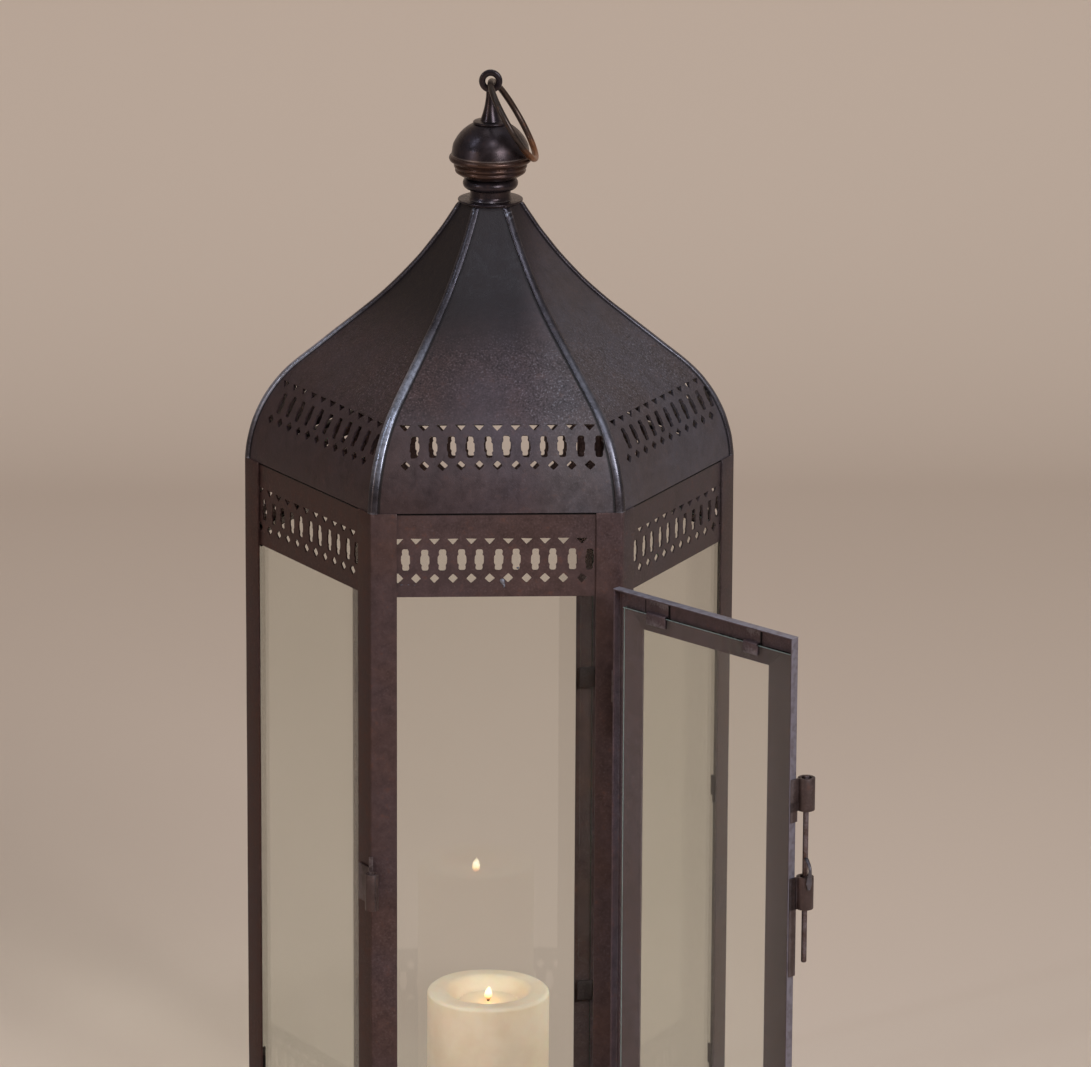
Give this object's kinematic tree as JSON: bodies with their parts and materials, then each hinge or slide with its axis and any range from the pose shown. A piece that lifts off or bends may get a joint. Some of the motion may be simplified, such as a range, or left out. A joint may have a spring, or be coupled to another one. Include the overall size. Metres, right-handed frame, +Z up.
{
  "type": "lantern floor lamp",
  "caption": "Six-sided metal candle lantern with an ogee roof, pierced bands, clear panes, a glazed door hung open on barrel hinges, a drop bolt and a carrying ring.",
  "frame": {"origin": "on the lantern's vertical axis, in the plane of its base", "axes": "+Z up, -Y out of the face that holds the door, +X to the right of someone who looks at the door"},
  "size_m": [0.3333, 0.3897, 0.7456],
  "materials": {
    "post_paint": "dark bronze powder coat with a fine orange-peel texture",
    "roof_paint": "dark bronze powder coat, softly worn, with a mottled patina",
    "rib_paint": "dark bronze powder coat, rubbed to a cooler grey on the edges",
    "band_paint": "dark bronze powder coat with a fine orange-peel texture",
    "pane_glass": "clear float glass, faintly green at its edges",
    "clip_paint": "dark bronze powder coat",
    "floor_paint": "dark bronze powder coat",
    "finial_paint": "brown bronze patina with coppery bands",
    "stud_steel": "plain zinc-plated thread",
    "ring_paint": "bronze patina with a rusty lower end",
    "door_paint": "dark bronze powder coat, worn at the rim",
    "door_pane_glass": "clear float glass, faintly green at its edges",
    "hinge_paint": "dark bronze powder coat over welded steel",
    "bolt_paint": "worn dark bronze with bare grey edges",
    "wax": "cream paraffin wax, satin",
    "wick_cotton": "charred cotton"
  },
  "bodies": {
    "lantern": {"corner_post_1": "post_paint", "corner_post_2": "post_paint", "corner_post_3": "post_paint", "corner_post_4": "post_paint", "corner_post_5": "post_paint", "corner_post_6": "post_paint", "roof_panel_1": "roof_paint", "roof_panel_2": "roof_paint", "roof_panel_3": "roof_paint", "roof_panel_4": "roof_paint", "roof_panel_5": "roof_paint", "roof_panel_6": "roof_paint", "roof_rib_1": "rib_paint", "roof_rib_2": "rib_paint", "roof_rib_3": "rib_paint", "roof_rib_4": "rib_paint", "roof_rib_5": "rib_paint", "roof_rib_6": "rib_paint", "upper_band_1": "band_paint", "upper_band_2": "band_paint", "upper_band_3": "band_paint", "upper_band_4": "band_paint", "upper_band_5": "band_paint", "upper_band_6": "band_paint", "lower_band_1": "band_paint", "lower_band_2": "band_paint", "lower_band_3": "band_paint", "lower_band_4": "band_paint", "lower_band_5": "band_paint", "lower_band_6": "band_paint", "glass_pane_2": "pane_glass", "glass_pane_3": "pane_glass", "glass_pane_4": "pane_glass", "glass_pane_5": "pane_glass", "glass_pane_6": "pane_glass", "pane_clips": "clip_paint", "floor_plate": "floor_paint", "crown_plate": "finial_paint", "finial_plate": "finial_paint", "finial_neck": "finial_paint", "finial_bowl": "finial_paint", "finial_dome": "finial_paint", "finial_spike": "finial_paint", "finial_stud": "stud_steel", "finial_nut": "stud_steel", "hinge_post_barrels": "hinge_paint", "hinge_pins": "hinge_paint", "bolt_keeper": "bolt_paint"},
    "door": {"door_bottom_rail": "door_paint", "door_hinge_stile": "door_paint", "door_top_rail": "door_paint", "door_latch_stile": "door_paint", "door_glass": "door_pane_glass", "door_clips": "clip_paint", "hinge_door_barrels": "hinge_paint", "bolt_guides": "bolt_paint"},
    "bolt": {"drop_bolt": "bolt_paint"},
    "ring": {"carry_ring": "ring_paint"},
    "candle": {"candle": "wax", "wick": "wick_cotton"}
  },
  "joints": [
    {"name": "door_hinge", "type": "hinge", "parent": "lantern", "child": "door", "pos_m": [0.075, -0.1414, 0.25], "axis": [0, 0, 1], "range_deg": [-133.25, 95]},
    {"name": "bolt_slide", "type": "slide", "parent": "door", "child": "bolt", "axis": [0, 0, 1], "range_m": [0, 0.0285]},
    {"name": "ring_swing", "type": "hinge", "parent": "lantern", "child": "ring", "pos_m": [0, 0, 0.73755], "axis": [-0.0872, -0.9962, 0], "range_deg": [0, 298.7]},
    {"name": "candle_lift", "type": "slide", "parent": "lantern", "child": "candle", "axis": [0, 0, 1], "range_m": [0, 0.06]}
  ]
}
